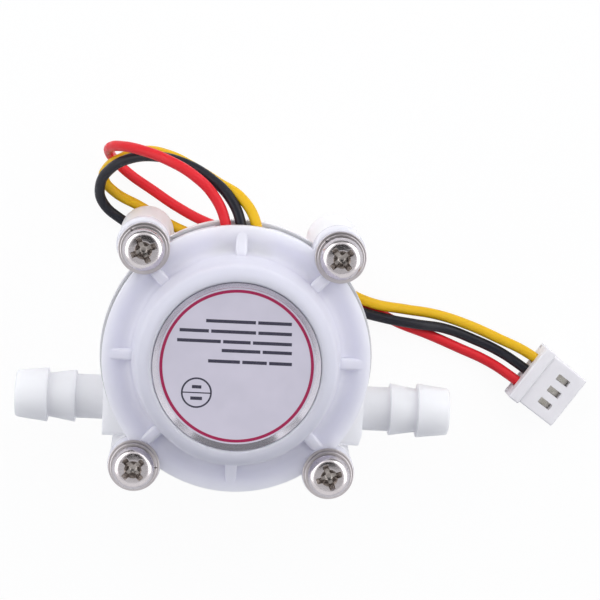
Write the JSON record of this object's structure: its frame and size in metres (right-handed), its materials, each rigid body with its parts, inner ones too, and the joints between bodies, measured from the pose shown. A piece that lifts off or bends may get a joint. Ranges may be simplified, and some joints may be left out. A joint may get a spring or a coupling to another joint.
{
  "type": "water flow sensor",
  "caption": "Small turbine water flow sensor with in-line hose barbs, a round ribbed cover held by pan head screws, and a three-wire lead with a crimp plug.",
  "frame": {"origin": "on the body axis, on the surface that the foot of the base stands on", "axes": "+Z along the rotor axis towards the label, +X along the barbs, +Y towards the side where the wires leave"},
  "size_m": [0.0776, 0.0455, 0.026],
  "materials": {
    "housing_plastic": "translucent white nylon, satin",
    "cover_plastic": "translucent cool white nylon, satin",
    "seal_rubber": "black nitrile",
    "shaft_steel": "ground stainless",
    "impeller_plastic": "white acetal",
    "magnet": "ground magnet",
    "board": "green solder mask",
    "chip_black": "black moulding compound",
    "chip_tan": "tan ceramic",
    "potting_resin": "white potting resin",
    "label_foil": "silver-grey film, satin, with a crimson border ring",
    "screw_steel": "nickel plated, lightly worn",
    "washer_steel": "nickel plated",
    "wire_red": "red soft insulation",
    "wire_black": "black soft insulation",
    "wire_yellow": "yellow soft insulation",
    "plug_plastic": "natural white nylon",
    "contact_tin": "tin plated"
  },
  "bodies": {
    "housing": {"housing_base": "housing_plastic", "cover": "cover_plastic", "o_ring": "seal_rubber", "rotor_shaft": "shaft_steel", "circuit_board": "board", "hall_sensor": "chip_black", "chip_resistor": "chip_black", "chip_capacitor": "chip_tan", "potting": "potting_resin", "label": "label_foil", "screw_1": "screw_steel", "screw_2": "screw_steel", "screw_3": "screw_steel", "screw_4": "screw_steel", "washer_1": "washer_steel", "washer_2": "washer_steel", "washer_3": "washer_steel", "washer_4": "washer_steel", "spring_washer_1": "washer_steel", "spring_washer_2": "washer_steel", "spring_washer_3": "washer_steel", "spring_washer_4": "washer_steel", "red_wire": "wire_red", "black_wire": "wire_black", "yellow_wire": "wire_yellow", "plug_housing": "plug_plastic", "contact_1": "contact_tin", "contact_2": "contact_tin", "contact_3": "contact_tin"},
    "rotor": {"impeller": "impeller_plastic", "rotor_magnet_1": "magnet", "rotor_magnet_2": "magnet"}
  },
  "joints": [
    {"name": "rotor_spin", "type": "hinge", "parent": "housing", "child": "rotor", "pos_m": [0, 0, 0.01], "axis": [0, 0, 1], "continuous": true}
  ]
}
